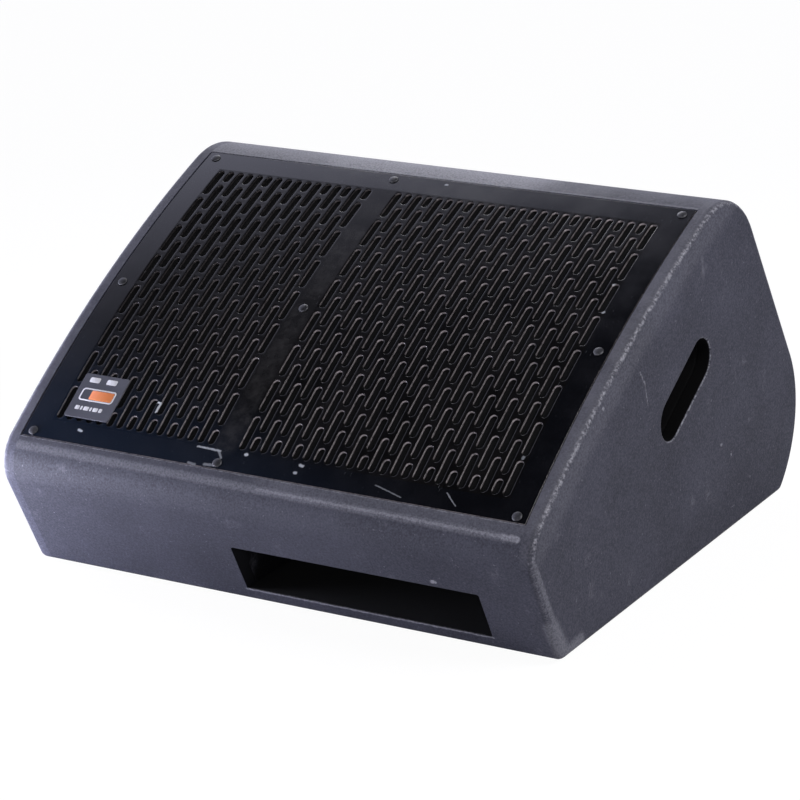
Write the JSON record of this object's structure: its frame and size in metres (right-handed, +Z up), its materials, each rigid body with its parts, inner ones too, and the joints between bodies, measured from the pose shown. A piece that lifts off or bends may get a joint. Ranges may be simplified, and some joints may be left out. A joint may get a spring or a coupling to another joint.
{
  "type": "stage monitor wedge",
  "caption": "Low floor monitor loudspeaker with a bowed slotted grille facing up at the performer, a wide port in the front and a hand-hold in each side.",
  "frame": {"origin": "centre of the footprint, on the floor that the feet stand on", "axes": "+X across the width, +Y from the front with the port to the back, +Z up"},
  "size_m": [0.59, 0.5733, 0.3482],
  "materials": {
    "cabinet_paint": "plywood with textured dark grey cabinet paint",
    "bare_plywood": "bare birch plywood",
    "grille_paint": "gloss black paint on sheet steel",
    "screw_steel": "blackened steel with worn edges",
    "badge_grey": "grey enamel on thin sheet",
    "plate_steel": "satin black paint on sheet steel",
    "acoustic_foam": "open cell foam, matt black",
    "cast_frame": "cast alloy with satin black paint",
    "plated_steel": "zinc plated steel",
    "ferrite": "ground ceramic magnet",
    "cone_paper": "pressed paper pulp, matt",
    "surround_rubber": "doped cloth and rubber, satin",
    "spider_cloth": "varnished woven cloth",
    "copper_wire": "enamelled copper wire",
    "diaphragm_metal": "thin pressed metal dome",
    "moulded_black": "moulded black plastic, fine grain",
    "capacitor_film": "film capacitor in a black case",
    "board_laminate": "green glass fibre circuit board",
    "lead_jacket": "flexible cable jacket, matt",
    "foot_rubber": "moulded rubber, matt"
  },
  "bodies": {
    "cabinet": {"side_panel_left": "cabinet_paint", "side_panel_right": "cabinet_paint", "bottom_panel": "cabinet_paint", "lower_front_panel": "cabinet_paint", "nose_rail": "cabinet_paint", "ridge_rail": "cabinet_paint", "back_panel": "cabinet_paint", "rear_corner_rail": "cabinet_paint", "port_shelf": "cabinet_paint", "port_wall_left": "cabinet_paint", "port_wall_right": "cabinet_paint", "baffle": "bare_plywood", "grille_batten_left": "bare_plywood", "grille_brace": "bare_plywood", "grille_batten_right": "bare_plywood", "grille": "grille_paint", "grille_screw_bottom_left": "screw_steel", "grille_screw_bottom_centre": "screw_steel", "grille_screw_bottom_right": "screw_steel", "grille_screw_middle_left": "screw_steel", "grille_screw_middle_centre": "screw_steel", "grille_screw_middle_right": "screw_steel", "grille_screw_top_left": "screw_steel", "grille_screw_top_centre": "screw_steel", "grille_screw_top_right": "screw_steel", "badge_plate": "badge_grey", "connector_plate": "plate_steel", "foam_left": "acoustic_foam", "foam_right": "acoustic_foam", "basket": "cast_frame", "hf_rear_cover": "cast_frame", "top_plate": "plated_steel", "pole_yoke": "plated_steel", "hf_throat_plate": "plated_steel", "magnet": "ferrite", "hf_motor": "ferrite", "surround": "surround_rubber", "spider": "spider_cloth", "inductor_low": "copper_wire", "inductor_high": "copper_wire", "handle_cup_left": "moulded_black", "handle_cup_right": "moulded_black", "horn": "moulded_black", "woofer_terminal": "moulded_black", "speaker_socket_1": "moulded_black", "speaker_socket_2": "moulded_black", "capacitor_low": "capacitor_film", "capacitor_high": "capacitor_film", "crossover_board": "board_laminate", "woofer_lead": "lead_jacket", "hf_lead": "lead_jacket", "input_lead": "lead_jacket", "foot_front_left": "foot_rubber", "foot_front_right": "foot_rubber", "foot_rear_left": "foot_rubber", "foot_rear_right": "foot_rubber"},
    "woofer_cone": {"cone": "cone_paper", "dust_cap": "cone_paper", "voice_coil": "copper_wire"},
    "hf_diaphragm": {"hf_diaphragm": "diaphragm_metal"}
  },
  "joints": [
    {"name": "woofer_travel", "type": "slide", "parent": "cabinet", "child": "woofer_cone", "axis": [0, -0.4787, 0.878], "range_m": [-0.006, 0.006], "stiffness_N_per_m": 5000, "deforming": ["surround", "spider"]},
    {"name": "hf_diaphragm_travel", "type": "slide", "parent": "cabinet", "child": "hf_diaphragm", "axis": [0, -0.4787, 0.878], "range_m": [-0.0004, 0.0004], "stiffness_N_per_m": 5000}
  ]
}
